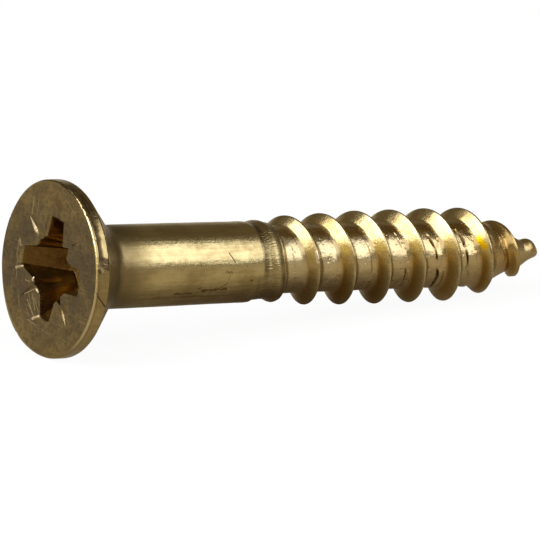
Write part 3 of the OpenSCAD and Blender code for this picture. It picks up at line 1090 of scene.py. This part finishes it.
def recess_brass(colours):
    """Inside of the recess: dark amber brass, with painted shade deeper down, at the bottom and on a near
    upper wall strip, and painted light on the lower walls.
    """
    shader, place = start_brass("brass_recess")
    x, y, z = place.split()
    along = place.stretch((6.0, 6.0, 0.5)).cloud(1.5)
    fine = place.cloud(4.0)
    near = y.below(-1.3, -0.8)
    streak = x.span(-0.55, -0.38, -0.2, 0.05) * along.band(0.42, 0.56)
    # Where the lower walls, which face up, get painted light.
    painted_lit_walls = z.span(0.6, 1.2, 1.8, 1.88) * x.band(0.22, 0.38)
    tone = shader.layered(colours, "recess", [
        (along.band(0.45, 0.7) * 0.5, "stain"),
        # Painted shade, darker towards the bottom.
        (z.band(0.1, 1.6) * 0.35, "grime_and_shade"),
        # Painted shade on the near upper wall strip, which mirrors a bright lamp.
        (near * x.below(-0.5, -0.36) * 0.7, "grime_and_shade"),
        (near * streak * 0.8, "amber"),
        (y.band(1.5, 2.2) * 0.25 + fine.band(0.48, 0.62) * 0.25, "grime_and_shade"),
        # Painted light on the lower walls.
        (painted_lit_walls * 0.75, "amber"),
        # Painted shade at the bottom.
        (z.band(1.84, 1.92) * 0.6, "grime_and_shade"),
    ])
    waves = place.cloud(1.1, 1.0, 0.5)
    height = along * 0.02 + fine * 0.012 + waves * 0.12
    return finish_brass(shader, tone, 0.36 + (fine - 0.5) * 0.1, height, 0.0)


# ---- Studio ----


def direction(azimuth, elevation):
    """Unit vector at an azimuth from -Y towards +X, and an elevation."""
    level = cos(elevation)
    return Vector((sin(azimuth) * level, -cos(azimuth) * level, sin(elevation)))


# Soft lamps round the screw: azimuth, elevation, width and height in degrees, then brightness and tint
SOFTBOXES = [
    ("right_softbox", 45, 29, 46, 40, 2.25, (0.96, 1.02, 1.2)),
    ("left_softbox", -92, 42, 46, 44, 4.6, (0.96, 1.0, 1.16)),
    ("front_softbox", -22, 36, 82, 38, 1.4, (0.97, 1.0, 1.08)),
]
LAMP_DISTANCE = 0.45
FLOOR_HALF = 2.0


def add_softbox(name, azimuth, elevation, across, tall, strength, tint, centre):
    """A soft lamp that faces the screw and fills a given part of its surroundings."""
    light = bpy.data.lights.new(name, "AREA")
    light.shape = "RECTANGLE"
    light.size, light.size_y = (2 * LAMP_DISTANCE * tan(radians(angle / 2)) for angle in (across, tall))
    light.energy = strength * pi * light.size * light.size_y
    light.color = tint
    towards = direction(radians(azimuth), radians(elevation))
    lamp = add_object(name, light)
    lamp.location = centre + towards * LAMP_DISTANCE
    lamp.rotation_euler = towards.to_track_quat("Z", "Y").to_euler()
    lamp.visible_camera = False


def ray_kinds(shader):
    """Masks of the rays from the camera, those that metal mirrors and those through something clear."""
    path = shader.add("LightPath")
    kinds = "Camera", "Glossy", "Transmission"
    return [Socket(shader, path.outputs[f"Is {kind} Ray"]) for kind in kinds]


def studio_world(settings):
    """White to the camera, and to the metal a dim room with a pale horizon and a warm left wall."""
    world = bpy.data.worlds.new("studio_world")
    bpy.context.scene.world = world
    shader = Shader(world)
    camera, glossy, clear = ray_kinds(shader)
    x, y, z = shader.node("TexCoord").split()
    behind = y.band(0.45, 0.8) * z.below(0.12, 0.4)
    left = x.below(-0.93, -0.8) * z.below(0.26, 0.42)
    mirrored = shader.layered(settings, "room", [(behind, "horizon"), (left, "left_wall")])
    lit = shader.blend(glossy, rgba(settings.ambient), mirrored)
    shown = shader.blend(camera.math("MAXIMUM", clear), lit, rgba(settings.backdrop))
    shader.add("OutputWorld", {"Surface": shader.node("Background", {"Color": shown})})


def floor_material(settings):
    """White to the camera but for the screw's shadow, and to the metal dim near the screw, a painted
    shadow.
    """
    shader = Shader(bpy.data.materials.new("pale_floor"))
    camera, glossy, clear = ray_kinds(shader)
    place = shader.node("TexCoord", output=3)
    distance = place.stretch((0.3, 1.0, 1.0)).vector("LENGTH", output=1)
    # Painted shadow: the floor that the metal mirrors is dim near the screw.
    mirrored = shader.layered(settings, "near_floor_shadow", [(distance.band(0.0006, 0.006), "far_floor")])
    shown = shader.blend(camera.math("MAXIMUM", clear), (0, 0, 0, 1), rgba(settings.backdrop))
    shown = shader.blend(glossy, shown, mirrored)
    diffuse = shader.node("BsdfDiffuse", {"Color": rgba(settings.ground)})
    glow = shader.node("Emission", {"Color": shown, "Strength": 0.94})
    shader.add("OutputMaterial", {"Surface": shader.node("AddShader", [diffuse, glow])})
    return shader.owner


def add_camera(settings, centre):
    """The camera, looking at the middle of the screw."""
    camera = add_object("camera", bpy.data.cameras.new("camera"))
    towards = direction(settings.azimuth, settings.elevation)
    camera.location = centre + towards * settings.distance
    camera.rotation_euler = (-towards).to_track_quat("-Z", "Y").to_euler()
    camera.data.lens = settings.lens
    camera.data.sensor_width = 36
    camera.data.clip_start = 0.01
    bpy.context.scene.camera = camera


# ---- Operators ----


class SCREW_OT_build(bpy.types.Operator):
    """Builds the wood screw with its thread, head and drive recess"""

    bl_idname = "wood_screw.build"
    bl_label = "Wood Screw"

    def execute(self, context):
        form = ScrewForm(context.scene.screw_sizes)
        colours = context.scene.screw_colours
        materials = [face_brass(colours), recess_brass(colours), body_brass(colours)]
        piece = add_piece("brass_screw", screw_mesh(form), materials)
        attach(piece, "root")
        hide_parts("wood_screw")
        return {"FINISHED"}


class SCREW_OT_studio(bpy.types.Operator):
    """Adds the pale floor, the soft lamps, the backdrop and the camera"""

    bl_idname = "wood_screw.studio"
    bl_label = "Studio"

    def execute(self, context):
        settings = context.scene.studio
        centre = Vector((settings.aim_x, 0, settings.aim_z))
        bm = bmesh.new()
        bmesh.ops.create_grid(bm, x_segments=1, y_segments=1, size=FLOOR_HALF)
        floor = add_piece("floor", bm, [floor_material(settings)])
        studio_world(settings)
        for softbox in SOFTBOXES:
            add_softbox(*softbox, centre)
        add_camera(settings, centre)
        context.scene.view_settings.view_transform = "Standard"
        return {"FINISHED"}


class SCREW_PT_panel(bpy.types.Panel):
    bl_label = "Wood Screw"
    bl_idname = "SCREW_PT_panel"
    bl_space_type = "VIEW_3D"
    bl_region_type = "UI"
    bl_category = "Wood Screw"

    def draw(self, context):
        for operator in (SCREW_OT_build, SCREW_OT_studio):
            self.layout.operator(operator.bl_idname)
        for group in (context.scene.screw_sizes, context.scene.screw_colours, context.scene.studio):
            box = self.layout.box()
            for name in group.__annotations__:
                box.prop(group, name)


CLASSES = (ScrewSizes, ScrewColours, StudioSettings, SCREW_OT_build, SCREW_OT_studio, SCREW_PT_panel)


def register():
    for entry in CLASSES:
        bpy.utils.register_class(entry)
    bpy.types.Scene.screw_sizes = PointerProperty(type=ScrewSizes)
    bpy.types.Scene.screw_colours = PointerProperty(type=ScrewColours)
    bpy.types.Scene.studio = PointerProperty(type=StudioSettings)


def unregister():
    del bpy.types.Scene.studio
    del bpy.types.Scene.screw_colours
    del bpy.types.Scene.screw_sizes
    for entry in reversed(CLASSES):
        bpy.utils.unregister_class(entry)


def main():
    register()
    bpy.ops.wood_screw.build()
    bpy.ops.wood_screw.studio()


if __name__ == "__main__":
    main()
